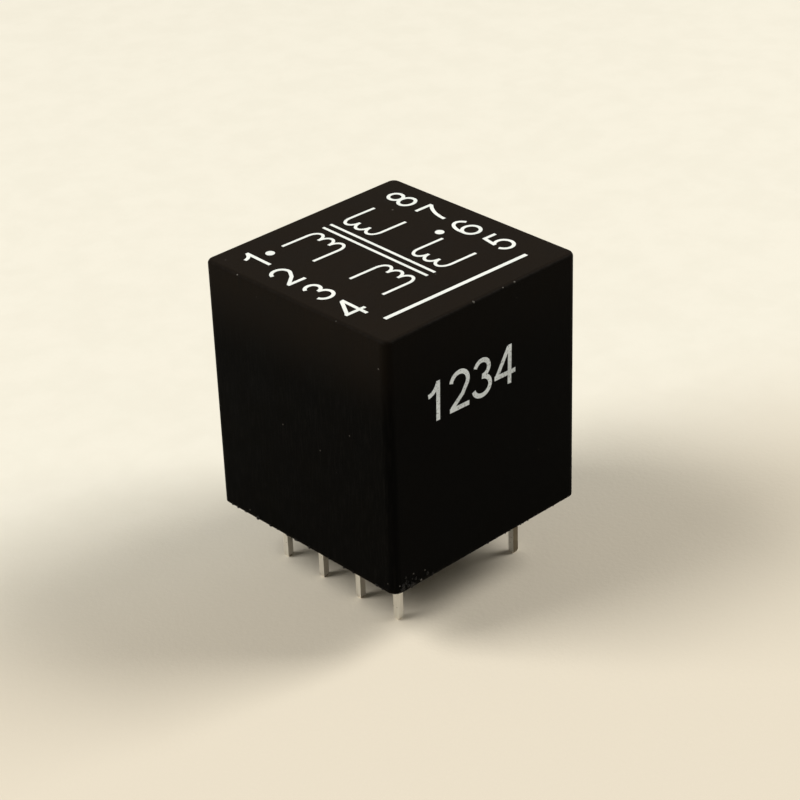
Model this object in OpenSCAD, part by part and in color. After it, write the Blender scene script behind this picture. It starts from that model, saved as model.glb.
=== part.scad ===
// Encapsulated PCB transformer
//
// A small potted transformer that solders to a printed circuit board. A moulded cup, closed at the top,
// holds a coil former wound with two primaries and two secondaries, a core of interleaved E and I
// sheets, and two rows of four square pins. Compound fills the cup through its open bottom.
//
// Sizes are in millimetres. The origin is the centre of the seating plane, where the rim of the cup
// meets the board. +Z points away from the board, and the axis of the coil runs along X.
// Seen from above, pins 1 to 4 run down the -X side and pins 5 to 8 run up the +X side.

/* [Case] */
// Width of the case along X
case_w = 23.6; // [21:0.1:40]
// Depth of the case along Y
case_d = 23.6; // [21.8:0.1:40]
// Height of the case above the board
case_h = 25.4; // [16:0.1:45]
// Thickness of the side walls
case_wall = 1; // [0.6:0.05:1.3]
// Thickness of the roof
case_roof = 1.2; // [0.6:0.05:3]
// Radius of the upright corners, outside
corner_r = 0.85; // [0.6:0.05:2]
// Radius of the upright corners, inside
inner_corner_r = 0.5; // [0.2:0.05:1]
// Radius round the top edge
edge_r = 0.4; // [0.15:0.05:0.5]

/* [Compound] */
// Depth of the compound's surface inside the rim
pot_recess = 0.4; // [0.1:0.05:1.5]
// Least thickness of compound between the coil former and the roof
head_cover = 1; // [0.3:0.05:4]

/* [Pins] */
// Distance between the two rows of pins
row_spacing = 15.24; // [13.5:0.01:17]
// Distance between neighbouring pins in a row
pin_pitch = 5.08; // [3.81:0.01:5.4]
// Width of a square pin
pin_w = 0.64; // [0.5:0.01:0.9]
// Length of a pin below the rim of the case
pin_len = 6.5; // [2.5:0.1:15]
// Width left at the tip of a pin
tip_w = 0.42; // [0.2:0.01:0.48]
// Length of the chamfer at the tip
tip_len = 0.25; // [0.1:0.05:1]
// Thickness of coil former left above a pin
pin_cap = 0.6; // [0.3:0.05:1.2]

/* [Core] */
// Width of the middle leg of the E
tongue_w = 6.35; // [5:0.05:7]
// Width of each window of the core
window_w = 3.175; // [2.8:0.025:3.5]
// Length of each window of the core
window_l = 9.525; // [8.5:0.025:10.5]
// Width of the outer legs, of the back of the E and of the I
limb_w = 3.175; // [2.5:0.025:3.5]
// Thickness of a core sheet
sheet_t = 0.35; // [0.25:0.01:0.65]
// Insulating film between two core sheets
sheet_gap = 0.01; // [0.005:0.005:0.05]
// Air gap where the legs of an E meet its I
butt_gap = 0.02; // [0.01:0.01:0.2]

/* [Coil former] */
// Wall thickness of the tube round the tongue
tube_wall = 0.6; // [0.4:0.05:0.8]
// Clearance between the tube and the tongue
bore_gap = 0.15; // [0.05:0.05:0.3]
// Outer corner radius of the tube
tube_corner_r = 0.4; // [0.2:0.05:0.6]
// Thickness of each flange
flange_t = 0.8; // [0.5:0.05:1.2]
// Clearance between a flange and the back of the core
end_gap = 0.1; // [0.05:0.05:0.3]
// Clearance between a flange and the outer legs of the core
leg_gap = 0.2; // [0.1:0.05:0.4]
// Height of the flanges above the outermost tape
flange_lip = 0.2; // [0.1:0.05:0.4]
// Width of a pin rail beyond the centres of its outer pins
rail_margin = 1.3; // [0.8:0.05:1.4]
// Height of the ridge that locates the core on a pin rail
stop_h = 1.4; // [0.5:0.1:4]
// Clearance between that ridge and the core
stop_gap = 0.1; // [0.05:0.05:0.2]
// Width of a slot that lets a winding's end through
slot_w = 0.9; // [0.7:0.05:1]
// Depth of that slot into the pin rail, beyond the flange
slot_depth = 1.2; // [1:0.05:1.5]
// Distance of the inner slots from the middle
inner_slot_y = 1.3; // [1:0.05:1.5]
// Distance of the outer slots from the middle
outer_slot_y = 3.2; // [3:0.05:3.4]

/* [Windings] */
// Share of the copper's depth that the two primaries take
primary_share = 0.5; // [0.4:0.01:0.6]
// Thickness of the tape between the primaries and the secondaries
barrier_t = 0.1; // [0.05:0.01:0.2]
// Thickness of the outermost tape
outer_tape_t = 0.15; // [0.05:0.01:0.25]
// Wire diameter of the primaries
primary_wire_d = 0.2; // [0.1:0.01:0.25]
// Wire diameter of the secondaries
secondary_wire_d = 0.3; // [0.2:0.01:0.34]
// Bend radius of a winding's ends
bend_r = 0.35; // [0.3:0.05:0.4]
// Length of a winding's end that lies inside the winding
lead_bite = 1; // [0.5:0.1:3]
// Height of the windings' ends above the surface of the compound
lead_cover = 0.75; // [0.7:0.05:2]
// Height of the pin rails above the windings' ends
lead_gap = 0.7; // [0.65:0.05:1]
// Height of the outermost tape above the windings' ends
lead_drop = 0.65; // [0.6:0.05:2]

/* [Solder] */
// Diameter of a solder joint
solder_d = 1.8; // [1.4:0.05:2.2]
// Height of a solder joint along its pin
solder_h = 1; // [0.6:0.05:1.2]
// Gap between a wire's end and the corner of its pin, filled with solder
wire_end_gap = 0.04; // [0.02:0.01:0.1]

/* [Hidden] */
PINS_PER_ROW = 4;
PIN_COUNT = 2 * PINS_PER_ROW;
CUT = 1;

// Cavity of the case
cavity_w = case_w - 2 * case_wall;
cavity_d = case_d - 2 * case_wall;
ceiling_z = case_h - case_roof;

// Coil, outwards from the core: tube, primaries, barrier tape, secondaries, outer tape
tube_depth = bore_gap + tube_wall;
flange_reach = window_w - leg_gap;
coil_reach = flange_reach - flange_lip;
copper_depth = coil_reach - tube_depth - barrier_t - outer_tape_t;
primary_t = copper_depth * primary_share / 2;
secondary_t = copper_depth * (1 - primary_share) / 2;
barrier_at = 2 * primary_t;
secondary_at = barrier_at + barrier_t;
outer_tape_at = secondary_at + 2 * secondary_t;

// Heights, upwards from the board
lead_z = pot_recess + lead_cover;
rail_z = lead_z + lead_gap;
core_z = lead_z + lead_drop + coil_reach;
pin_top_z = core_z - pin_cap;
stack_room = ceiling_z - head_cover - flange_reach - core_z;
sheet_pitch = sheet_t + sheet_gap;
sheet_count = floor((stack_room + sheet_gap) / sheet_pitch);
stack_h = sheet_count * sheet_pitch - sheet_gap;
mid_z = core_z + stack_h / 2;

// Lengths along X, outwards from the middle
window_x = window_l / 2;
flange_x = window_x - end_gap;
coil_x = flange_x - flange_t;
core_x = window_x + limb_w;
rail_x = row_spacing / 2 + rail_margin;
drop_x = flange_x + slot_depth / 2;

// Widths along Y
tongue_y = tongue_w / 2;
core_y = tongue_y + window_w + limb_w;
tube_w = tongue_w + 2 * tube_depth;
tube_h = stack_h + 2 * tube_depth;
rail_y = pin_pitch * (PINS_PER_ROW - 1) / 2 + rail_margin;
wire_stop = pin_w * sqrt(2) / 2 + wire_end_gap;

$fn = 48;

// Centre of pin n, numbered as on a package: down one row and up the other
function pin_side(n) = n <= PINS_PER_ROW ? -1 : 1;
function pin_place(n) = n <= PINS_PER_ROW ? (PINS_PER_ROW + 1) / 2 - n : n - (3 * PINS_PER_ROW + 1) / 2;
function pin_x(n) = pin_side(n) * row_spacing / 2;
function pin_y(n) = pin_place(n) * pin_pitch;

// Slot of the coil former that serves pin n: the outer pins take the outer slots
function slot_y(n) = sign(pin_place(n)) * (abs(pin_place(n)) > 1 ? outer_slot_y : inner_slot_y);

module rounded_rect(width, height, radius) {
    square([width - 2 * radius, height], center = true);
    square([width, height - 2 * radius], center = true);
    for (sx = [-1, 1], sy = [-1, 1])
        translate([sx * (width / 2 - radius), sy * (height / 2 - radius)])
            circle(radius);
}

// Block centred on X and Y, from one height to another
module slab(size_x, size_y, z_from, z_to) {
    translate([-size_x / 2, -size_y / 2, z_from])
        cube([size_x, size_y, z_to - z_from]);
}

// Draws a shape of the YZ plane and stretches it along X, centred
module along_x(length) {
    rotate([90, 0, 90])
        translate([0, 0, -length / 2])
            linear_extrude(length)
                children();
}

// Upright section of the case, rounded at its top corners
module case_section(width) {
    translate([-width / 2, 0])
        square([width, case_h - edge_r]);
    translate([-width / 2 + edge_r, 0])
        square([width - 2 * edge_r, case_h]);
    for (side = [-1, 1])
        translate([side * (width / 2 - edge_r), case_h - edge_r])
            circle(edge_r);
}

// Half section of an upright corner, turned through a quarter circle
module corner_section() {
    square([corner_r, case_h - edge_r]);
    square([corner_r - edge_r, case_h]);
    intersection() {
        translate([corner_r - edge_r, case_h - edge_r])
            circle(edge_r);
        square([corner_r, case_h]);
    }
}

module case_block() {
    along_x(case_w - 2 * corner_r)
        case_section(case_d);
    rotate(90)
        along_x(case_d - 2 * corner_r)
            case_section(case_w);
    for (corner = [[1, 1, 0], [-1, 1, 90], [-1, -1, 180], [1, -1, 270]])
        translate([corner[0] * (case_w / 2 - corner_r), corner[1] * (case_d / 2 - corner_r), 0])
            rotate(corner[2])
                rotate_extrude(angle = 90)
                    corner_section();
}

// Inside of the case, from a given height to the roof
module cavity(z_from) {
    translate([0, 0, z_from])
        linear_extrude(ceiling_z - z_from)
            rounded_rect(cavity_w, cavity_d, inner_corner_r);
}

module case() {
    color([0.12, 0.11, 0.10])
        difference() {
            case_block();
            cavity(-CUT);
        }
}

// Outline of the assembled core, from above
module core_outline() {
    difference() {
        square([2 * core_x, 2 * core_y], center = true);
        for (side = [-1, 1])
            translate([0, side * (tongue_y + window_w / 2)])
                square([window_l, window_w], center = true);
    }
}

// E sheet with its back on the -X side
module e_outline() {
    difference() {
        core_outline();
        translate([window_x, -core_y - CUT])
            square([limb_w + CUT, 2 * (core_y + CUT)]);
    }
}

// I sheet on the +X side
module i_outline() {
    translate([window_x + butt_gap, -core_y])
        square([limb_w - butt_gap, 2 * core_y]);
}

// Stack of sheets, each turned end for end from the one below
module interleaved() {
    for (i = [0:sheet_count - 1])
        translate([0, 0, core_z + i * sheet_pitch])
            rotate(i % 2 == 0 ? 0 : 180)
                linear_extrude(sheet_t)
                    children();
}

module e_laminations() {
    color([0.50, 0.51, 0.53])
        interleaved()
            e_outline();
}

module i_laminations() {
    color([0.58, 0.59, 0.61])
        interleaved()
            i_outline();
}

// Square post through the coil former, chamfered at its tip
module pin_section() {
    polygon([
        [-pin_w / 2, pin_top_z], [pin_w / 2, pin_top_z],
        [pin_w / 2, tip_len - pin_len], [tip_w / 2, -pin_len],
        [-tip_w / 2, -pin_len], [-pin_w / 2, tip_len - pin_len]
    ]);
}

module pin(n) {
    color([0.80, 0.80, 0.78])
        translate([pin_x(n), pin_y(n), 0])
            intersection() {
                along_x(pin_w)
                    pin_section();
                rotate(90)
                    along_x(pin_w)
                        pin_section();
            }
}

// Tube, flanges and pin rails, before anything is cut into them
module former_block() {
    along_x(2 * flange_x)
        translate([0, mid_z])
            rounded_rect(tube_w, tube_h, tube_corner_r);
    for (side = [0, 180])
        rotate(side) {
            translate([coil_x + flange_t / 2, 0, 0])
                slab(flange_t, tongue_w + 2 * flange_reach, core_z - flange_reach,
                    core_z + stack_h + flange_reach);
            translate([(coil_x + rail_x) / 2, 0, 0])
                slab(rail_x - coil_x, 2 * rail_y, rail_z, core_z);
            translate([(core_x + stop_gap + rail_x) / 2, 0, 0])
                slab(rail_x - core_x - stop_gap, 2 * rail_y, core_z, core_z + stop_h);
        }
}

// Slots through the flanges and into the pin rails, open downwards, one for each pin
module lead_slots() {
    for (n = [1:PIN_COUNT])
        translate([pin_side(n) * (coil_x + flange_x + slot_depth) / 2, slot_y(n), 0])
            slab(flange_t + slot_depth, slot_w, pot_recess, core_z - tube_depth);
}

module bobbin() {
    color([0.86, 0.83, 0.72])
        difference() {
            former_block();
            lead_slots();
            slab(2 * (flange_x + CUT), tongue_w + 2 * bore_gap, core_z - bore_gap,
                core_z + stack_h + bore_gap);
            for (n = [1:PIN_COUNT])
                translate([pin_x(n), pin_y(n), 0])
                    slab(pin_w, pin_w, 0, pin_top_z);
        }
}

// Outline of the coil at a given depth over the tube, in the YZ plane
module coil_outline(depth) {
    translate([0, mid_z])
        rounded_rect(tube_w + 2 * depth, tube_h + 2 * depth, tube_corner_r + depth);
}

// One layer wound over the tube, between the flanges
module coil_layer(depth, thickness) {
    along_x(2 * coil_x)
        difference() {
            coil_outline(depth + thickness);
            coil_outline(depth);
        }
}

// Wire that comes up along Z at the origin, bends towards -X and runs on by a straight length
module bent_wire(wire_d, length) {
    translate([-bend_r, 0, 0])
        rotate([90, 0, 0])
            rotate_extrude(angle = 90)
                translate([bend_r, 0])
                    circle(d = wire_d);
    translate([-bend_r, 0, bend_r])
        rotate([0, -90, 0])
            cylinder(h = length, d = wire_d);
}

// End of a winding: out through its slot at a given height, down past the pin rail and across to pin n
module winding_end(z_out, wire_d, n) {
    rise = z_out - lead_z - 2 * bend_r;
    slot = [drop_x, pin_side(n) * slot_y(n)];
    pin_run = [row_spacing / 2, pin_side(n) * pin_y(n)] - slot;
    rotate(pin_side(n) > 0 ? 0 : 180)
        translate([slot.x, slot.y, lead_z + bend_r]) {
            cylinder(h = rise, d = wire_d);
            translate([0, 0, rise])
                bent_wire(wire_d, drop_x - bend_r - coil_x + lead_bite);
            rotate([0, 180, atan2(pin_run.y, pin_run.x)])
                bent_wire(wire_d, norm(pin_run) - bend_r - wire_stop);
        }
}

// Layer of copper with its start and finish brought out to two pins from its lowest side
module winding(depth, thickness, wire_d, pins) {
    coil_layer(depth, thickness);
    for (n = pins)
        winding_end(core_z - tube_depth - depth - thickness / 2, wire_d, n);
}

module primary_winding_a() {
    color([0.72, 0.36, 0.16])
        winding(0, primary_t, primary_wire_d, [1, 2]);
}

module primary_winding_b() {
    color([0.76, 0.40, 0.18])
        winding(primary_t, primary_t, primary_wire_d, [3, 4]);
}

module barrier_tape() {
    color([0.90, 0.78, 0.30])
        coil_layer(barrier_at, barrier_t);
}

module secondary_winding_a() {
    color([0.62, 0.26, 0.10])
        winding(secondary_at, secondary_t, secondary_wire_d, [8, 7]);
}

module secondary_winding_b() {
    color([0.66, 0.30, 0.12])
        winding(secondary_at + secondary_t, secondary_t, secondary_wire_d, [6, 5]);
}

module outer_tape() {
    color([0.92, 0.82, 0.36])
        coil_layer(outer_tape_at, outer_tape_t);
}

module windings() {
    primary_winding_a();
    primary_winding_b();
    secondary_winding_a();
    secondary_winding_b();
}

// Rounded beads of solder round the pins, at the height of the windings' ends
module solder_beads() {
    for (n = [1:PIN_COUNT])
        translate([pin_x(n), pin_y(n), lead_z])
            intersection() {
                sphere(d = solder_d);
                cube([solder_d, solder_d, solder_h], center = true);
            }
}

module all_pins() {
    for (n = [1:PIN_COUNT])
        pin(n);
}

module solder_joints() {
    color([0.72, 0.73, 0.74])
        difference() {
            solder_beads();
            all_pins();
            windings();
        }
}

// Compound: everything inside the case that no other piece fills
module potting() {
    color([0.08, 0.08, 0.08])
        difference() {
            cavity(pot_recess);
            translate([0, 0, core_z])
                linear_extrude(stack_h)
                    core_outline();
            difference() {
                former_block();
                lead_slots();
            }
            windings();
            barrier_tape();
            outer_tape();
            solder_beads();
            all_pins();
        }
}

case();
potting();
bobbin();
e_laminations();
i_laminations();
primary_winding_a();
primary_winding_b();
barrier_tape();
secondary_winding_a();
secondary_winding_b();
outer_tape();
solder_joints();
pin(1);  // pin_1
pin(2);  // pin_2
pin(3);  // pin_3
pin(4);  // pin_4
pin(5);  // pin_5
pin(6);  // pin_6
pin(7);  // pin_7
pin(8);  // pin_8
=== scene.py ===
import itertools
import math
import random

import bmesh
import bpy
from mathutils import Matrix, Vector, noise


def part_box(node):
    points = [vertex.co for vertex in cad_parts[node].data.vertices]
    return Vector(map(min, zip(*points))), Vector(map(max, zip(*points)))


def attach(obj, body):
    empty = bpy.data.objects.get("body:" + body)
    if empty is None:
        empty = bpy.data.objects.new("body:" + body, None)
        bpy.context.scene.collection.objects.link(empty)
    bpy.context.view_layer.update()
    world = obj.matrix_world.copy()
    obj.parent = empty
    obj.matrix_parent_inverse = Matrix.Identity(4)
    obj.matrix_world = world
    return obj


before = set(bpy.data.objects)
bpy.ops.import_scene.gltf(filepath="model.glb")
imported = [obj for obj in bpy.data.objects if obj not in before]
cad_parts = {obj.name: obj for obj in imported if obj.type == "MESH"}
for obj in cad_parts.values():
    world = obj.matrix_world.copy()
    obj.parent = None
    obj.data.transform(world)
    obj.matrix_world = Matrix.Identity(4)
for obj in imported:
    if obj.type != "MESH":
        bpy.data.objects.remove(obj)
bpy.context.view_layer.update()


# ---------------------------------------------------------------------------------------------------
# The core: interleaved E and I sheets of silicon steel.
# Each sheet is punched, annealed until its faces turn a bluish grey oxide, and stacked by hand
# into the coil, so the stack shows warm heat stains and a few spots of rust.

mm = 0.001
PER_MM = 1 / mm

BLUE_OXIDE = (0.20, 0.22, 0.25, 1)
HEAT_STAIN = (0.36, 0.33, 0.29, 1)
RUST = (0.13, 0.06, 0.03, 1)
MOTTLE_SCALE = 0.11
LEAST_DOT = 0.3


def node(tree, kind, inputs=(), **settings):
    """Adds a shader node; an input that is given a socket is linked, and any other is set."""
    made = tree.nodes.new("ShaderNode" + kind)
    for name, value in settings.items():
        setattr(made, name, value)
    for name, value in dict(inputs).items():
        if isinstance(value, bpy.types.NodeSocket):
            tree.links.new(value, made.inputs[name])
        else:
            made.inputs[name].default_value = value
    return made


def calculate(tree, operation, *values):
    return node(tree, "Math", dict(enumerate(values)), operation=operation).outputs[0]


def fade(tree, value, low, high):
    """0 below low, 1 above high, and a smooth step between; low may be the greater."""
    limits = {"Value": value, "From Min": low, "From Max": high}
    return node(tree, "MapRange", limits, interpolation_type="SMOOTHSTEP").outputs[0]


def between(tree, value, least, most, start=0.0, end=1.0):
    """Turns a value that runs from start to end into one that runs from least to most."""
    limits = {"Value": value, "From Min": start, "From Max": end, "To Min": least, "To Max": most}
    return node(tree, "MapRange", limits).outputs[0]


def blend_colours(tree, share, first, second):
    """Sockets 6 and 7 are the two colours of a Mix node, and its colour comes out at 2."""
    return node(tree, "Mix", {0: share, 6: first, 7: second}, data_type="RGBA").outputs[2]


def effect(name, inputs, outputs):
    """An empty node group; inputs give each socket's kind. Returns it and its two ends."""
    group = bpy.data.node_groups.new(name, "ShaderNodeTree")
    for title, kind in inputs.items():
        group.interface.new_socket(title, in_out="INPUT", socket_type="NodeSocket" + kind)
    for title in outputs:
        group.interface.new_socket(title, in_out="OUTPUT", socket_type="NodeSocketFloat")
    return group, group.nodes.new("NodeGroupInput").outputs, group.nodes.new("NodeGroupOutput").inputs


def use(tree, group, **values):
    """Places a node group; an underscore in a name stands for a space. Returns its outputs."""
    placed = tree.nodes.new("ShaderNodeGroup")
    placed.node_tree = group
    for name, value in values.items():
        socket = placed.inputs[name.replace("_", " ")]
        if isinstance(value, bpy.types.NodeSocket):
            tree.links.new(value, socket)
        else:
            socket.default_value = value
    return placed.outputs


def new_finish(name, **settings):
    """A material with one Principled BSDF; settings are sockets that are equal all over.
    Returns it, its nodes, the shader's inputs and the place on the piece."""
    material = bpy.data.materials.new(name)
    material.use_nodes = True
    tree = material.node_tree
    shader = tree.nodes["Principled BSDF"]
    for title, value in settings.items():
        shader.inputs[title.replace("_", " ")].default_value = value
    place = tree.nodes.new("ShaderNodeTexCoord").outputs["Object"]
    return material, tree, shader.inputs, place


def paint(tree, shader, colour):
    tree.links.new(colour, shader["Base Color"])


def roughen(tree, shader, value, least, most):
    """The roughness runs from least to most as the value runs from 0 to 1."""
    tree.links.new(between(tree, value, least, most), shader["Roughness"])


def bump(tree, shader, height, depth):
    bumped = node(tree, "Bump", {"Height": height, "Distance": depth})
    tree.links.new(bumped.outputs[0], shader["Normal"])


def finish_nodes(names, material):
    for name in names:
        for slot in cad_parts[name].material_slots:
            slot.material = material


# Grain: small bumps of one size, and a slow mottle some nine times as wide.
grain, given, result = effect(
    "grain", {"Vector": "Vector", "Per Metre": "Float"}, ["Height", "Mottle"]
)
fine = node(grain, "TexNoise", {"Vector": given["Vector"], "Scale": given["Per Metre"], "Detail": 3.0})
wide_scale = calculate(grain, "MULTIPLY", given["Per Metre"], MOTTLE_SCALE)
wide = node(grain, "TexNoise", {"Vector": given["Vector"], "Scale": wide_scale, "Detail": 5.0})
grain.links.new(fade(grain, fine.outputs[0], low=0.25, high=0.75), result["Height"])
grain.links.new(fade(grain, wide.outputs[0], low=0.3, high=0.7), result["Mottle"])

# Specks: dots scattered without order, for dust, pits and rust. Share is how many cells hold one.
specks, given, result = effect(
    "specks", {"Vector": "Vector", "Per Metre": "Float", "Share": "Float", "Size": "Float"}, ["Mask"]
)
cells = node(specks, "TexVoronoi", {"Vector": given["Vector"], "Scale": given["Per Metre"]})
chance = node(specks, "SeparateColor", {0: cells.outputs["Color"]}).outputs
reach = calculate(specks, "MULTIPLY", given["Size"], calculate(specks, "ADD", chance[1], LEAST_DOT))
away = calculate(specks, "DIVIDE", cells.outputs["Distance"], reach)
held = calculate(specks, "LESS_THAN", chance[0], given["Share"])
near = fade(specks, away, low=1.0, high=0.6)
specks.links.new(calculate(specks, "MULTIPLY", near, held), result["Mask"])

steel, tree, shader, place = new_finish("annealed core steel", Metallic=0.85)
marks = use(tree, grain, Vector=place, Per_Metre=6.0 * PER_MM)
rust = use(tree, specks, Vector=place, Per_Metre=1.5 * PER_MM, Share=0.15, Size=0.35)
oxide = blend_colours(tree, marks["Mottle"], BLUE_OXIDE, HEAT_STAIN)
paint(tree, shader, blend_colours(tree, rust["Mask"], oxide, RUST))
roughen(tree, shader, marks["Height"], least=0.35, most=0.55)
bump(tree, shader, marks["Height"], depth=0.004 * mm)
finish_nodes(["e_laminations", "i_laminations"], steel)


# ---------------------------------------------------------------------------------------------------
# The coil former: one moulding of glass-filled nylon that carries the coil and the pins.
# The cut glass fibres show as fine pale flecks, and the mould leaves a satin face.

DARK_NYLON = (0.50, 0.45, 0.33, 1)
PALE_NYLON = (0.60, 0.55, 0.42, 1)
GLASS_FIBRE = (0.72, 0.69, 0.60, 1)
FIBRE_STRETCH = (1.0, 0.22, 1.0)

former, tree, shader, place = new_finish("glass-filled nylon", Roughness=0.5)
marks = use(tree, grain, Vector=place, Per_Metre=8.0 * PER_MM)
stretched = node(tree, "Mapping", {"Vector": place, "Scale": FIBRE_STRETCH}).outputs[0]
fibres = use(tree, specks, Vector=stretched, Per_Metre=5.0 * PER_MM, Share=0.4, Size=0.25)
nylon = blend_colours(tree, marks["Mottle"], DARK_NYLON, PALE_NYLON)
paint(tree, shader, blend_colours(tree, fibres["Mask"], nylon, GLASS_FIBRE))
bump(tree, shader, marks["Height"], depth=0.005 * mm)
finish_nodes(["bobbin"], former)


# ---------------------------------------------------------------------------------------------------
# The windings: enamelled copper wire, wound in layers round the former.
# The turns show as fine ridges side by side along the coil, under a clear amber enamel, with painted
# shade in the grooves between them.

WIRE_ACROSS = {
    "primary_winding_a": 0.20 * mm,
    "primary_winding_b": 0.20 * mm,
    "secondary_winding_a": 0.30 * mm,
    "secondary_winding_b": 0.30 * mm,
}
DARK_COPPER = (0.42, 0.15, 0.05, 1)
PALE_COPPER = (0.60, 0.26, 0.10, 1)
SHADE_BETWEEN_TURNS = (0.16, 0.05, 0.02, 1)


def xyz(tree, vector):
    """The three parts of a vector, as the sockets X, Y and Z."""
    return node(tree, "SeparateXYZ", {0: vector}).outputs


for name, wire in WIRE_ACROSS.items():
    copper, tree, shader, place = new_finish(
        "enamelled " + name.replace("_", " "), Metallic=1.0, Coat_Weight=0.6
    )
    turns = calculate(tree, "MULTIPLY", xyz(tree, place)["X"], math.pi / wire)
    ridge = calculate(tree, "ABSOLUTE", calculate(tree, "SINE", turns))
    marks = use(tree, grain, Vector=place, Per_Metre=3.0 * PER_MM)
    shade = blend_colours(tree, marks["Mottle"], DARK_COPPER, PALE_COPPER)
    # Painted shade: the grooves between the turns are painted dark.
    paint(tree, shader, blend_colours(tree, ridge, SHADE_BETWEEN_TURNS, shade))
    roughen(tree, shader, marks["Height"], least=0.22, most=0.38)
    bump(tree, shader, ridge, depth=wire / 2)
    finish_nodes([name], copper)


# ---------------------------------------------------------------------------------------------------
# The tapes: yellow polyester film, wound between the windings and over the coil.
# The film is glossy, and the adhesive under it leaves cloudy patches.

DARK_YELLOW = (0.62, 0.44, 0.06, 1)
PALE_YELLOW = (0.78, 0.62, 0.14, 1)

tape, tree, shader, place = new_finish("polyester tape", Coat_Weight=0.4)
marks = use(tree, grain, Vector=place, Per_Metre=4.0 * PER_MM)
paint(tree, shader, blend_colours(tree, marks["Mottle"], DARK_YELLOW, PALE_YELLOW))
roughen(tree, shader, marks["Mottle"], least=0.18, most=0.34)
bump(tree, shader, marks["Mottle"], depth=0.012 * mm)
finish_nodes(["barrier_tape", "outer_tape"], tape)


# ---------------------------------------------------------------------------------------------------
# The solder joints: a bead of tin and silver solder where each winding's end meets its pin.
# The bead freezes from the outside in, which leaves a dull frosted skin over a bright one.

BRIGHT_SOLDER = (0.62, 0.62, 0.60, 1)
FROSTED_SOLDER = (0.44, 0.44, 0.43, 1)

solder, tree, shader, place = new_finish("frosted solder", Metallic=1.0)
marks = use(tree, grain, Vector=place, Per_Metre=12.0 * PER_MM)
paint(tree, shader, blend_colours(tree, marks["Mottle"], BRIGHT_SOLDER, FROSTED_SOLDER))
roughen(tree, shader, marks["Height"], least=0.2, most=0.5)
bump(tree, shader, marks["Height"], depth=0.01 * mm)
finish_nodes(["solder_joints"], solder)


# ---------------------------------------------------------------------------------------------------
# The pins: square posts stamped from tinned brass strip, cropped at the tip and pressed into the
# former's rails. The strip's own faces look along X and keep bright tin with faint lengthwise streaks.
# The crop at the tip is dull brass. The faces that look along Y carry a painted shade, dark brown by a
# share given for each pin, for the shadowed floor they mirror; pin 4 looks out on the lit floor and has
# none.

# How much painted shade lies on the faces of each pin that look along Y.
PINS = {
    "pin_1": 0.60,
    "pin_2": 0.68,
    "pin_3": 0.68,
    "pin_4": 0.0,
    "pin_5": 1.0,
    "pin_6": 0.70,
    "pin_7": 0.70,
    "pin_8": 0.65,
}
CROP_STARTS = 0.03 * mm
CROP_FULL = 0.005 * mm
STREAK_STRETCH = (1.0, 1.0, 0.08)
GREY_TIN = (0.72, 0.70, 0.65, 1)
BRIGHT_TIN = (0.86, 0.84, 0.79, 1)
DULL_SPOT = (0.42, 0.39, 0.34, 1)
DARK_SHADE_BROWN = (0.15, 0.125, 0.09, 1)
PALE_SHADE_BROWN = (0.22, 0.19, 0.14, 1)
CROPPED_BRASS = (0.50, 0.36, 0.17, 1)

tip_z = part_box("pin_1")[0].z


def facing(tree):
    """The way that the surface looks, as the sockets X, Y and Z."""
    return xyz(tree, tree.nodes.new("ShaderNodeTexCoord").outputs["Normal"])


def new_tin(name, painted_shade):
    """Satin tin; the faces that look along Y get painted shade, dark brown by the share that is given.
    """
    made, tree, shader, place = new_finish(name, Metallic=1.0)
    lengthwise = node(tree, "Mapping", {"Vector": place, "Scale": STREAK_STRETCH}).outputs[0]
    streaks = use(tree, grain, Vector=lengthwise, Per_Metre=9.0 * PER_MM)
    dulled = use(tree, grain, Vector=place, Per_Metre=7.0 * PER_MM)
    spots = use(tree, specks, Vector=place, Per_Metre=4.0 * PER_MM, Share=0.25, Size=0.22)
    tin = blend_colours(tree, streaks["Mottle"], GREY_TIN, BRIGHT_TIN)
    aged = blend_colours(tree, spots["Mask"], tin, DULL_SPOT)
    # Painted shade: the faces that look along Y are painted dark brown.
    shade_colour = blend_colours(tree, dulled["Mottle"], DARK_SHADE_BROWN, PALE_SHADE_BROWN)
    along_y = calculate(tree, "ABSOLUTE", facing(tree)["Y"])
    shaded = calculate(tree, "MULTIPLY", fade(tree, along_y, low=0.6, high=0.8), painted_shade)
    sided = blend_colours(tree, shaded, aged, shade_colour)
    cropped = fade(tree, xyz(tree, place)["Z"], low=tip_z + CROP_STARTS, high=tip_z + CROP_FULL)
    paint(tree, shader, blend_colours(tree, cropped, sided, CROPPED_BRASS))
    roughen(tree, shader, dulled["Mottle"], least=0.42, most=0.58)
    bump(tree, shader, streaks["Height"], depth=0.006 * mm)
    return made


for name, painted_shade in PINS.items():
    finish_nodes([name], new_tin("tinned post " + name[-1], painted_shade))


# ---------------------------------------------------------------------------------------------------
# The case: a cup moulded in black phenolic, with a fine matt grain from the spark-worked mould.
# It is drawn off its core upwards, which leaves faint upright lines on its sides, painted lighter on
# the side that looks along -X towards the left lamp. Dust lies on it, and a painted sheen lies on its
# top and on the upper part of that lit side: painted light.

EDGE_WIDTH = 0.35 * mm
EDGE_POLISH = 0.12
SHEEN_REACH = 9 * mm
LINE_STRETCH = (1.0, 1.0, 0.10)
LINE_RELIEF = 0.6
DEEP_BLACK = (0.0006, 0.0006, 0.0006, 1)
WARM_BLACK = (0.0012, 0.0011, 0.0009, 1)
PAINTED_SHEEN = (0.0100, 0.0074, 0.0053, 1)
DRAW_LINE = (0.005, 0.0046, 0.0042, 1)
RUBBED_EDGE = (0.018, 0.015, 0.012, 1)
LINT = (0.05, 0.045, 0.04, 1)
DUST = (0.16, 0.15, 0.135, 1)

case_low, case_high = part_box("case")
case_size = case_high - case_low
case_middle_z = (case_low.z + case_high.z) / 2


def lay_over(tree, under, mask, over, strength):
    """Lays one colour over another through a mask, which is weakened by a strength below 1."""
    return blend_colours(tree, calculate(tree, "MULTIPLY", mask, strength), under, over)


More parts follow.
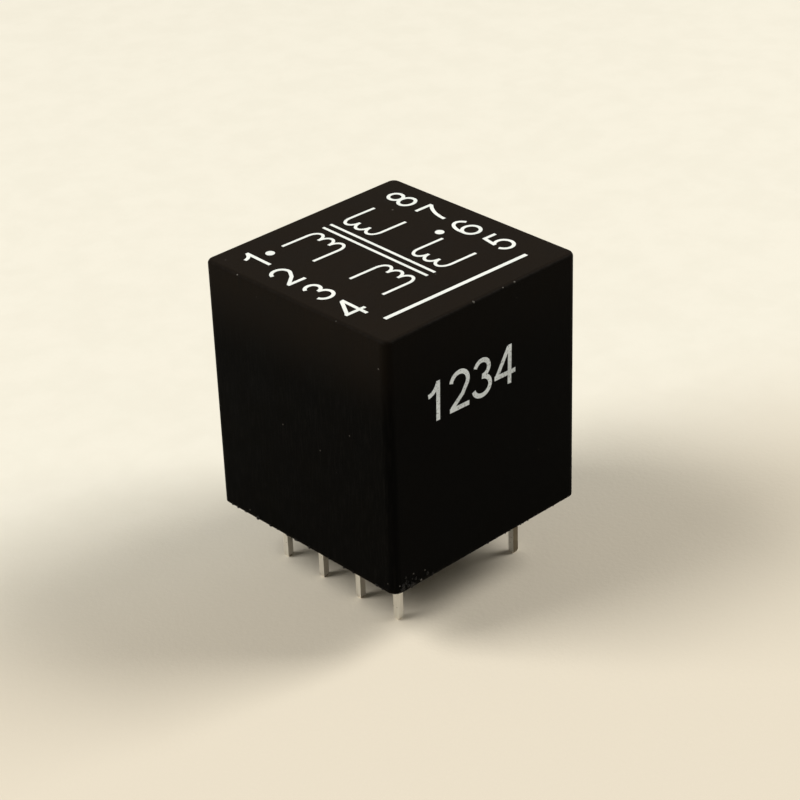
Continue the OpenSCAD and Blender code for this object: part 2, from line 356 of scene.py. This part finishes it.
# Box edges: how near a point of a box's surface is to one of its edges, from 0 to 1 at the edge.
box_edges, given, result = effect(
    "box edges", {"Vector": "Vector", "Half Size": "Vector", "Width": "Float"}, ["Mask"]
)
folded = node(box_edges, "VectorMath", {0: given["Vector"]}, operation="ABSOLUTE").outputs[0]
inside = node(box_edges, "VectorMath", {0: given["Half Size"], 1: folded}, operation="SUBTRACT")
gap = xyz(box_edges, inside.outputs[0])
least = calculate(box_edges, "MINIMUM", gap["X"], gap["Y"])
most = calculate(box_edges, "MAXIMUM", gap["X"], gap["Y"])
second = calculate(box_edges, "MAXIMUM", least, calculate(box_edges, "MINIMUM", most, gap["Z"]))
box_edges.links.new(fade(box_edges, second, low=given["Width"], high=0.0), result["Mask"])

plastic, tree, shader, place = new_finish("grained black phenolic", Specular_IOR_Level=0.018)
centred = node(tree, "Mapping", {"Vector": place, "Location": (0, 0, -case_middle_z)}).outputs[0]
upright = node(tree, "Mapping", {"Vector": place, "Scale": LINE_STRETCH}).outputs[0]
texture = use(tree, grain, Vector=place, Per_Metre=14.0 * PER_MM)
clouding = use(tree, grain, Vector=place, Per_Metre=2.5 * PER_MM)
draw = use(tree, grain, Vector=upright, Per_Metre=5.0 * PER_MM)
edges = use(tree, box_edges, Vector=centred, Half_Size=case_size / 2, Width=EDGE_WIDTH)
dust = use(tree, specks, Vector=place, Per_Metre=0.75 * PER_MM, Share=0.13, Size=0.065)
lint = use(tree, specks, Vector=place, Per_Metre=3.1 * PER_MM, Share=0.10, Size=0.11)

# Painted sheen: the top is painted lighter all over, and each side near the top by how much it faces
# the left lamp; the upright lines are also painted lighter on that lit side.
looks = facing(tree)
level = fade(tree, looks["Z"], low=0.5, high=0.98)
lamp_side = between(tree, looks["X"], least=0.20, most=0.90, start=0.0, end=-0.9)
near_top = fade(tree, xyz(tree, place)["Z"], low=case_high.z - SHEEN_REACH, high=case_high.z)
sheen_mask = calculate(tree, "MAXIMUM", level, calculate(tree, "MULTIPLY", near_top, lamp_side))
uneven = between(tree, clouding["Mottle"], least=0.8, most=1.0)
lines = calculate(tree, "MULTIPLY", fade(tree, draw["Height"], low=0.45, high=0.95), lamp_side)
rubbed = calculate(tree, "MULTIPLY", edges["Mask"], clouding["Height"])

black = blend_colours(tree, clouding["Mottle"], DEEP_BLACK, WARM_BLACK)
black = lay_over(tree, black, sheen_mask, PAINTED_SHEEN, strength=uneven)
black = lay_over(tree, black, lines, DRAW_LINE, strength=0.45)
black = lay_over(tree, black, rubbed, RUBBED_EDGE, strength=0.35)
black = lay_over(tree, black, lint["Mask"], LINT, strength=0.25)
paint(tree, shader, lay_over(tree, black, dust["Mask"], DUST, strength=0.55))
rough = between(tree, clouding["Mottle"], least=0.54, most=0.64)
polish = calculate(tree, "MULTIPLY", rubbed, EDGE_POLISH)
tree.links.new(calculate(tree, "SUBTRACT", rough, polish), shader["Roughness"])
line_relief = calculate(tree, "MULTIPLY", draw["Height"], LINE_RELIEF)
bump(tree, shader, calculate(tree, "ADD", texture["Height"], line_relief), depth=0.006 * mm)
finish_nodes(["case"], plastic)


# ---------------------------------------------------------------------------------------------------
# The crumbs at the rim: bits of compound that ran over the rim when the cup was filled.
# They set hard as small black lumps on two sides, most of them round the corner between the two,
# and a few along the rims.

CRUMB_SEED = 11
CORNER_CRUMBS = 34
RIM_CRUMBS = 18
LUMP_WAVES = 2.2
LUMPINESS = 0.45
FLATNESS = 0.35
LEFT = Vector((-1, 0, 0))
FRONT = Vector((0, -1, 0))

# All in millimetres: where the corner's crumbs start, how far they spread, and their sizes.
ALONG_FROM = 0.7
ALONG_SPREAD = 1.2
UP_FROM = 0.08
UP_SPREAD = 0.6
CORNER_SIZES = (0.12, 0.34)

# The place along the left rim, the height over it, and the size of the largest crumbs there.
LEFT_CRUMBS = ((6.7, 0.10, 0.42), (-3.1, 0.06, 0.25), (-9.4, 0.08, 0.30), (9.6, 0.12, 0.22))

# The ranges of the small ones: along the rim, over it, and in size.
LEFT_RANGES = ((-10.5, 10.5), (-0.01, 0.07), (0.14, 0.32))
FRONT_RANGES = ((-10.5, 10.5), (0.0, 0.10), (0.10, 0.20))

DARK_LUMP = (0.002, 0.002, 0.002, 1)
PALE_LUMP = (0.006, 0.0055, 0.005, 1)
BROKEN_LUMP = (0.16, 0.15, 0.135, 1)


def new_piece(name, mesh, material):
    """Turns a bmesh into an object at the origin that wears one material."""
    data = bpy.data.meshes.new(name)
    mesh.to_mesh(data)
    mesh.free()
    piece = bpy.data.objects.new(name, data)
    bpy.context.scene.collection.objects.link(piece)
    data.materials.append(material)
    return piece


def smooth(piece):
    for face in piece.data.polygons:
        face.use_smooth = True


def add_crumb(mesh, where, size, outward):
    """A lump of that size, pressed flat against the face that looks outward, partly sunk in it."""
    lump = bmesh.ops.create_icosphere(mesh, subdivisions=3, radius=size / 2)["verts"]
    for vert in lump:
        wander = noise.noise(vert.co * (LUMP_WAVES / size) + where * PER_MM)
        vert.co *= 1 + LUMPINESS * wander
        vert.co -= FLATNESS * outward * vert.co.dot(outward)
        vert.co += where


def draw_crumb(ranges):
    """A place along the rim, a height over it and a size, each drawn from its range."""
    return [draws.uniform(*limits) * mm for limits in ranges]


crumbly, tree, shader, place = new_finish("set compound", Roughness=0.40, Specular_IOR_Level=0.10)
marks = use(tree, grain, Vector=place, Per_Metre=10.0 * PER_MM)
broken = use(tree, specks, Vector=place, Per_Metre=2.2 * PER_MM, Share=0.22, Size=0.26)
lump = blend_colours(tree, marks["Mottle"], DARK_LUMP, PALE_LUMP)
paint(tree, shader, lay_over(tree, lump, broken["Mask"], BROKEN_LUMP, strength=0.6))
bump(tree, shader, marks["Height"], depth=0.02 * mm)

draws = random.Random(CRUMB_SEED)
crumbs = bmesh.new()
for _ in range(CORNER_CRUMBS):
    along = ALONG_FROM + abs(draws.gauss(0, ALONG_SPREAD))
    up = UP_FROM + abs(draws.gauss(0, UP_SPREAD))
    where = case_low + Vector((along, 0, up)) * mm
    add_crumb(crumbs, where, draws.uniform(*CORNER_SIZES) * mm, FRONT)
for y, z, size in LEFT_CRUMBS:
    add_crumb(crumbs, Vector((case_low.x, y * mm, case_low.z + z * mm)), size * mm, LEFT)
for _ in range(RIM_CRUMBS):
    along, up, size = draw_crumb(LEFT_RANGES)
    add_crumb(crumbs, Vector((case_low.x, along, case_low.z + up)), size, LEFT)
    along, up, size = draw_crumb(FRONT_RANGES)
    add_crumb(crumbs, Vector((along, case_low.y, case_low.z + up)), size, FRONT)
rim_crumbs = new_piece("rim_crumbs", crumbs, crumbly)
smooth(rim_crumbs)
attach(rim_crumbs, "root")


# ---------------------------------------------------------------------------------------------------
# The pale specks: grains of the compound's chalk filler that fell on the case and stuck to it.
# They lie low on the front near the same corner, and on two edges of the top.

# All in millimetres: the place along the side or edge, the height on the side, and the size.
SPECKS_ON_FRONT = (
    (-8.6, 0.2, 0.20),
    (-9.5, 1.3, 0.16),
    (-11.2, 0.8, 0.12),
    (-8.1, 1.0, 0.11),
    (-10.3, 0.4, 0.10),
)
SPECKS_ON_FRONT_EDGE = ((-1.25, 0.22), (2.4, 0.12), (3.85, 0.17))
SPECKS_ON_LEFT_EDGE = ((7.3, 0.14), (-5.6, 0.10))
IN_FROM_EDGE = 0.12 * mm
DARK_CHALK = (0.05, 0.048, 0.043, 1)
PALE_CHALK = (0.16, 0.155, 0.14, 1)

chalk, tree, shader, place = new_finish("chalk filler", Roughness=0.8, Specular_IOR_Level=0.2)
marks = use(tree, grain, Vector=place, Per_Metre=12.0 * PER_MM)
paint(tree, shader, blend_colours(tree, marks["Mottle"], DARK_CHALK, PALE_CHALK))
bump(tree, shader, marks["Height"], depth=0.02 * mm)

grains = bmesh.new()
edge_z = case_high.z - IN_FROM_EDGE
for x, z, size in SPECKS_ON_FRONT:
    add_crumb(grains, Vector((x * mm, case_low.y, z * mm)), size * mm, FRONT)
for x, size in SPECKS_ON_FRONT_EDGE:
    edge = Vector((x * mm, case_low.y + IN_FROM_EDGE, edge_z))
    add_crumb(grains, edge, size * mm, Vector((0, -1, 1)).normalized())
for y, size in SPECKS_ON_LEFT_EDGE:
    edge = Vector((case_low.x + IN_FROM_EDGE, y * mm, edge_z))
    add_crumb(grains, edge, size * mm, Vector((-1, 0, 1)).normalized())
pale_specks = new_piece("pale_specks", grains, chalk)
smooth(pale_specks)
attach(pale_specks, "root")


# ---------------------------------------------------------------------------------------------------
# The compound: black epoxy, poured into the cup once everything is in it, and cured in an oven.
# Its skin creeps up the walls and round each pin, is a little wavy, and holds a few small pits.

SKIN_CELLS = 110
SKIN_THICK = 0.02 * mm
SKIN_SUNK = 0.05 * mm
SKIN_CLEARANCE = 0.01 * mm
WALL_CREEP = 0.30 * mm
WALL_CREEP_WIDTH = 0.35 * mm
PIN_CREEP = 0.34 * mm
PIN_CREEP_WIDTH = 0.30 * mm
SLOW_WAVE = 0.035 * mm
SLOW_WAVE_LENGTH = 4 * mm
QUICK_WAVE = 0.01 * mm
QUICK_WAVE_LENGTH = 1 * mm
CALM_BY_WALL = 1 * mm
SWIRL_RELIEF = 0.5
DARK_EPOXY = (0.006, 0.006, 0.006, 1)
PALE_EPOXY = (0.013, 0.012, 0.012, 1)
FALLEN_DUST = (0.30, 0.28, 0.26, 1)

compound, tree, shader, place = new_finish("cured black epoxy", Specular_IOR_Level=0.4, Coat_Weight=0.15)
swirl = use(tree, grain, Vector=place, Per_Metre=3.0 * PER_MM)
pits = use(tree, specks, Vector=place, Per_Metre=1.1 * PER_MM, Share=0.22, Size=0.14)
fallen = use(tree, specks, Vector=place, Per_Metre=1.7 * PER_MM, Share=0.12, Size=0.06)
epoxy = blend_colours(tree, swirl["Mottle"], DARK_EPOXY, PALE_EPOXY)
paint(tree, shader, lay_over(tree, epoxy, fallen["Mask"], FALLEN_DUST, strength=0.5))
roughen(tree, shader, swirl["Mottle"], least=0.22, most=0.42)
swirled = calculate(tree, "MULTIPLY", swirl["Mottle"], SWIRL_RELIEF)
bump(tree, shader, calculate(tree, "SUBTRACT", swirled, pits["Mask"]), depth=0.03 * mm)
finish_nodes(["potting"], compound)

pot_low, pot_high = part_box("potting")
half_pot = (pot_high - pot_low) / 2
pin_boxes = [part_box(name) for name in PINS]
pin_centres = [(low + high) / 2 for low, high in pin_boxes]
pin_half = (pin_boxes[0][1].x - pin_boxes[0][0].x) / 2


def verts_of(made):
    """The vertices among what a bmesh operator made."""
    return [item for item in made["geom"] if isinstance(item, bmesh.types.BMVert)]


def creep(height, distance, width):
    """How high the compound climbs at a distance from what it creeps up."""
    return height * math.exp(-max(distance, 0) / width)


def wave(height, length, where):
    return height * noise.noise(where / length)


skin = bmesh.new()
bmesh.ops.create_grid(skin, x_segments=SKIN_CELLS, y_segments=SKIN_CELLS, size=1)
bmesh.ops.scale(
    skin, vec=(half_pot.x - SKIN_CLEARANCE, half_pot.y - SKIN_CLEARANCE, 1), verts=skin.verts
)
for vert in skin.verts:
    to_wall = min(half_pot.x - abs(vert.co.x), half_pot.y - abs(vert.co.y))
    climbs = [creep(WALL_CREEP, to_wall, WALL_CREEP_WIDTH)]
    for centre in pin_centres:
        to_pin = max(abs(vert.co.x - centre.x), abs(vert.co.y - centre.y)) - pin_half
        climbs.append(creep(PIN_CREEP, to_pin, PIN_CREEP_WIDTH))
    waves = wave(SLOW_WAVE, SLOW_WAVE_LENGTH, vert.co) + wave(QUICK_WAVE, QUICK_WAVE_LENGTH, vert.co)
    vert.co.z = pot_low.z - SKIN_THICK - max(climbs) - waves * min(1.0, to_wall / CALM_BY_WALL)
for vert in verts_of(bmesh.ops.extrude_face_region(skin, geom=skin.faces[:])):
    vert.co.z = pot_low.z + SKIN_SUNK
bmesh.ops.recalc_face_normals(skin, faces=skin.faces)
compound_skin = new_piece("compound_skin", skin, compound)
smooth(compound_skin)
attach(compound_skin, "root")


# ---------------------------------------------------------------------------------------------------
# The print on the top: the pin numbers, a dot at the start of each side's first winding, a plain
# diagram of the four windings on their core, and a rule. It is pad printed in white ink, a little
# askew, and the ink is thin enough for the grain under it to break it here and there.

INK = 0.012 * mm
INK_LIFT = 0.004 * mm
INK_STEP = 0.0008 * mm
INK_LEVELS = 5
SKEW = math.radians(-1.5)
NUMERAL_H = 3.3 * mm
STROKE = 0.105
BARE_SPOT = (0.02, 0.018, 0.015, 1)


def new_ink(name, full, pale, worn_thin, thinness, grains_per_mm):
    """Ink between two whites, which shows a third colour where the grain wears it thin."""
    made, tree, shader, place = new_finish(name, Specular_IOR_Level=0.3)
    under = use(tree, grain, Vector=place, Per_Metre=grains_per_mm * PER_MM)
    patches = use(tree, grain, Vector=place, Per_Metre=3.0 * PER_MM)
    holes = use(tree, specks, Vector=place, Per_Metre=4.5 * PER_MM, Share=0.20, Size=0.16)
    white = blend_colours(tree, patches["Mottle"], full, pale)
    thin = fade(tree, under["Height"], low=0.35, high=0.0)
    ink = lay_over(tree, white, thin, worn_thin, strength=thinness)
    paint(tree, shader, blend_colours(tree, holes["Mask"], ink, BARE_SPOT))
    roughen(tree, shader, under["Height"], least=0.45, most=0.7)
    bump(tree, shader, under["Height"], depth=0.004 * mm)
    return made


white_ink = new_ink(
    "white pad-print ink",
    full=(0.74, 0.79, 0.78, 1),
    pale=(0.82, 0.86, 0.85, 1),
    worn_thin=(0.35, 0.36, 0.35, 1),
    thinness=0.35,
    grains_per_mm=14,
)


def arc(x, y, across, up, start, end, steps=20):
    """Points of an arc of an ellipse about (x, y), from one angle to another, in degrees."""
    turns = [math.radians(start + (end - start) * n / steps) for n in range(steps + 1)]
    return [(x + across * math.cos(turn), y + up * math.sin(turn)) for turn in turns]


# The middle lines of each numeral's strokes, one unit high over all; a ring is a closed stroke.
# A stroke has no sharp turn: where a numeral turns sharply, the next stroke starts.
half = STROKE / 2
RINGS = {
    "6": [arc(0.33, 0.305, 0.265, 0.305 - half, 0, 360, steps=40)],
    "8": [
        arc(0.33, 0.735, 0.215, 0.265 - half, 0, 360, steps=36),
        arc(0.33, 0.275, 0.265, 0.275 - half, 0, 360, steps=40),
    ],
}
LINES = {
    "1": [
        [(0.40, 0.0), (0.40, 1.0)],
        arc(0.06, 1.06, 0.34, 0.37, -18, -84, steps=10),
    ],
    "2": [
        arc(0.33, 0.70, 0.265, 0.30 - half, 172, -22) + [(0.43, 0.37), (0.09, 0.08)],
        [(0.03, half), (0.64, half)],
    ],
    "3": [
        arc(0.31, 0.745, 0.22, 0.255 - half, 165, -88),
        arc(0.31, 0.29, 0.265, 0.29 - half, 90, -168),
    ],
    "4": [
        [(0.0, 0.29), (0.68, 0.29)],
        [(0.05, 0.27), (0.455, 0.96)],
        [(0.49, 0.0), (0.49, 1.0)],
    ],
    "5": [
        [(0.60, 1 - half), (0.19, 1 - half), (0.115, 0.47)],
        arc(0.32, 0.325, 0.265, 0.325 - half, 142, -168),
    ],
    "6": [arc(0.35, 0.46, 0.29, 0.54 - half, 190, 38)],
    "7": [
        [(0.03, 1 - half), (0.64, 1 - half)],
        arc(1.20, -0.03, 0.95, 1.22, 128, 178, steps=14),
    ],
}

stroke_numbers = itertools.count()


def add_stroke(mesh, points, ring=False):
    """Stands a wall of ink's height on the points; the wall gets its thickness afterwards.
    Each stroke lies a hair above the one before, so that no two faces fall together."""
    points = points[:-1] if ring else points
    lift = INK_STEP * (next(stroke_numbers) % INK_LEVELS)
    row = [mesh.verts.new((x, y, lift)) for x, y in points]
    edges = [mesh.edges.new(pair) for pair in zip(row, row[1:] + row[:1] if ring else row[1:])]
    raised = verts_of(bmesh.ops.extrude_edge_only(mesh, edges=edges))
    bmesh.ops.translate(mesh, vec=(0, 0, INK), verts=raised)


def print_strokes(name, mesh, stroke, place_on_face, ink):
    """Thickens the walls of a mesh to solid strokes, lays them on a face and gives them ink."""
    piece = new_piece(name, mesh, ink)
    swell = piece.modifiers.new("stroke", "SOLIDIFY")
    swell.thickness = stroke
    swell.offset = 0
    swell.use_even_offset = True
    solid = bpy.data.meshes.new_from_object(piece.evaluated_get(bpy.context.evaluated_depsgraph_get()))
    piece.modifiers.clear()
    piece.data = solid
    tidy = bmesh.new()
    tidy.from_mesh(solid)
    bmesh.ops.recalc_face_normals(tidy, faces=tidy.faces)
    bmesh.ops.transform(tidy, matrix=place_on_face, verts=tidy.verts)
    tidy.to_mesh(solid)
    tidy.free()
    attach(piece, "root")


def add_numeral(mesh, numeral, x, y, tall):
    """Draws a numeral with its lower left corner at (x, y), turned a little as all the print is."""
    lean = Vector((math.cos(SKEW), math.sin(SKEW)))
    for ring, strokes in ((True, RINGS.get(numeral, [])), (False, LINES.get(numeral, []))):
        for points in strokes:
            turned = [(px * lean.x - py * lean.y, px * lean.y + py * lean.x) for px, py in points]
            add_stroke(mesh, [(x + tall * px, y + tall * py) for px, py in turned], ring)


# Where the print stands, in millimetres from the middle of the top, with pin 1 at the upper left.
NUMERALS = {
    "1": (-9.88, 6.50),
    "2": (-10.27, 2.11),
    "3": (-10.22, -2.25),
    "4": (-10.61, -6.55),
    "8": (7.70, 6.05),
    "7": (7.75, 1.70),
    "6": (7.46, -2.73),
    "5": (7.37, -7.05),
}
DOTS = ((-7.03, 8.20), (6.29, 0.03))
DOT_R = 0.44 * mm

on_top = Matrix.Translation((0, 0, case_high.z + INK_LIFT))
numbers = bmesh.new()
for numeral, (x, y) in NUMERALS.items():
    add_numeral(numbers, numeral, x * mm, y * mm, NUMERAL_H)
print_strokes("pin_numbers", numbers, STROKE * NUMERAL_H, on_top, white_ink)

dots = bmesh.new()
for x, y in DOTS:
    at = on_top @ Matrix.Translation((x * mm, y * mm, INK / 2))
    bmesh.ops.create_cone(
        dots, cap_ends=True, segments=40, radius1=DOT_R, radius2=DOT_R, depth=INK, matrix=at
    )
winding_dots = new_piece("winding_dots", dots, white_ink)
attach(winding_dots, "root")

# The diagram: each winding is a row of half rounds that bow towards the two lines of the core.
COIL_X = 2.55 * mm
COIL_TOPS = (8.30 * mm, -0.95 * mm)
COIL_LENGTH = 4.30 * mm
LOOPS = 3
LOOP_BOW = 1.05 * mm
LEAD_X = 5.6 * mm
CORE_X = 0.45 * mm
CORE_TOP = 8.6 * mm
CORE_FOOT = -5.4 * mm
DIAGRAM_STROKE = 0.30 * mm

askew_on_top = on_top @ Matrix.Rotation(SKEW, 4, "Z")
loop = COIL_LENGTH / LOOPS
diagram = bmesh.new()
for side in (-1, 1):
    for top in COIL_TOPS:
        for n in range(LOOPS):
            middle = top - loop * (n + 0.5)
            add_stroke(diagram, arc(side * COIL_X, middle, -side * LOOP_BOW, loop / 2, 90, -90))
        for y in (top, top - COIL_LENGTH):
            add_stroke(diagram, [(side * COIL_X, y), (side * LEAD_X, y)])
for x in (-CORE_X, CORE_X):
    add_stroke(diagram, [(x, CORE_TOP), (x, CORE_FOOT)])
print_strokes("winding_diagram", diagram, DIAGRAM_STROKE, askew_on_top, white_ink)

RULE_X = 8.5 * mm
RULE_Y = -8.7 * mm
RULE_STROKE = 0.42 * mm

rule = bmesh.new()
add_stroke(rule, [(-RULE_X, RULE_Y), (RULE_X, RULE_Y)])
print_strokes("top_rule", rule, RULE_STROKE, askew_on_top, white_ink)


# ---------------------------------------------------------------------------------------------------
# The print on the side: four plain numerals, stamped on the front after the top was printed.
# Its ink is greyer than the top's.

SIDE_NUMERAL_H = 3.9 * mm
SIDE_STROKE = 0.115 * SIDE_NUMERAL_H
SIDE_NUMERALS = {"1": -7.5 * mm, "2": -4.62 * mm, "3": -1.75 * mm, "4": 1.05 * mm}
SIDE_Z = 15.63 * mm

grey_ink = new_ink(
    "grey side ink",
    full=(0.49, 0.54, 0.57, 1),
    pale=(0.64, 0.70, 0.74, 1),
    worn_thin=(0.16, 0.17, 0.18, 1),
    thinness=0.8,
    grains_per_mm=5,
)
on_front = Matrix.Translation((0, case_low.y - INK_LIFT, 0)) @ Matrix.Rotation(math.radians(90), 4, "X")
stamped = bmesh.new()
for numeral, x in SIDE_NUMERALS.items():
    add_numeral(stamped, numeral, x, SIDE_Z, SIDE_NUMERAL_H)
print_strokes("side_numerals", stamped, SIDE_STROKE, on_front, grey_ink)


# ---------------------------------------------------------------------------------------------------
# The studio: a sheet of cream paper with a fine tooth, which the pins stand on. Towards the front it is
# painted darker and warmer, a painted shade for the light that falls off there. A warm lamp on each side
# lights it, with a plain pale room round it.

FLOOR_HALF = 0.60
SHADED_PAPER_FRONT = (0.68, 0.635, 0.54, 1)
DARK_CREAM = (0.744, 0.732, 0.655, 1)
PALE_CREAM = (0.764, 0.752, 0.676, 1)
SHADE_FADE_WAY = (0.375, 0.927, 0.0)
SHADE_FADE_STARTS = -10 * mm
SHADE_FADE_ENDS = 28 * mm
ROOM_LIGHT = (0.150, 0.139, 0.118, 1)
ROOM_SEEN = (0.80, 0.76, 0.67, 1)

paper, tree, shader, place = new_finish("cream paper", Specular_IOR_Level=0.1, Roughness=0.9)
tooth = use(tree, grain, Vector=place, Per_Metre=2.2 * PER_MM)
cream = blend_colours(tree, tooth["Mottle"], DARK_CREAM, PALE_CREAM)
# Painted shade: the paper is painted darker and warmer towards the front.
along = node(tree, "VectorMath", {0: place, 1: SHADE_FADE_WAY}, operation="DOT_PRODUCT").outputs["Value"]
unshaded = fade(tree, along, low=SHADE_FADE_STARTS, high=SHADE_FADE_ENDS)
paint(tree, shader, blend_colours(tree, unshaded, SHADED_PAPER_FRONT, cream))
bump(tree, shader, tooth["Height"], depth=0.008 * mm)
sheet = bmesh.new()
bmesh.ops.create_grid(sheet, x_segments=1, y_segments=1, size=FLOOR_HALF)
bmesh.ops.translate(sheet, vec=(0, 0, tip_z), verts=sheet.verts)
floor = new_piece("floor", sheet, paper)

# The room is seen brighter than it lights, also in what shines or lets light through.
scene = bpy.context.scene
scene.world = bpy.data.worlds.new("studio")
scene.world.use_nodes = True
tree = scene.world.node_tree
rays = tree.nodes.new("ShaderNodeLightPath").outputs
seen = calculate(tree, "MAXIMUM", rays["Is Camera Ray"], rays["Is Glossy Ray"])
seen = calculate(tree, "MAXIMUM", seen, rays["Is Transmission Ray"])
room = blend_colours(tree, seen, ROOM_LIGHT, ROOM_SEEN)
tree.links.new(room, tree.nodes["Background"].inputs["Color"])

WARM_WHITE = (1.0, 0.96, 0.90)
LAMP_AIM = Vector((0, 0, 10)) * mm
LAMP_DISTANCE = 1.00


def set_up(name, data, aim, azimuth, elevation, distance, roll=0.0):
    """Stands a lamp or a camera where it looks at a point; azimuth goes from +X towards +Y."""
    turn, rise = math.radians(azimuth), math.radians(elevation)
    way = Vector((math.cos(turn) * math.cos(rise), math.sin(turn) * math.cos(rise), math.sin(rise)))
    level = way.to_track_quat("Z", "Y").to_matrix()
    thing = bpy.data.objects.new(name, data)
    thing.location = aim + way * distance
    thing.rotation_euler = (level @ Matrix.Rotation(math.radians(roll), 3, "Z")).to_euler()
    scene.collection.objects.link(thing)
    return thing


def add_lamp(name, azimuth, elevation, size, watts):
    """A square area lamp."""
    lamp = bpy.data.lights.new(name, "AREA")
    lamp.size = size
    lamp.energy = watts
    lamp.color = WARM_WHITE
    set_up(name, lamp, LAMP_AIM, azimuth, elevation, LAMP_DISTANCE)


add_lamp("left lamp", azimuth=146, elevation=46, size=0.48, watts=8.6)
add_lamp("right lamp", azimuth=-30, elevation=44, size=0.46, watts=8.0)

lens = bpy.data.cameras.new("camera")
lens.lens = 105.175
lens.sensor_width = 36
lens.clip_start = 0.01
lens.clip_end = 20
camera_aim = Vector((0.3195, -0.2970, 10.4483)) * mm
scene.camera = set_up(
    "camera",
    lens,
    camera_aim,
    azimuth=227.0929,
    elevation=29.8605,
    distance=216.1275 * mm,
    roll=-2.0631,
)
scene.view_settings.view_transform = "Standard"
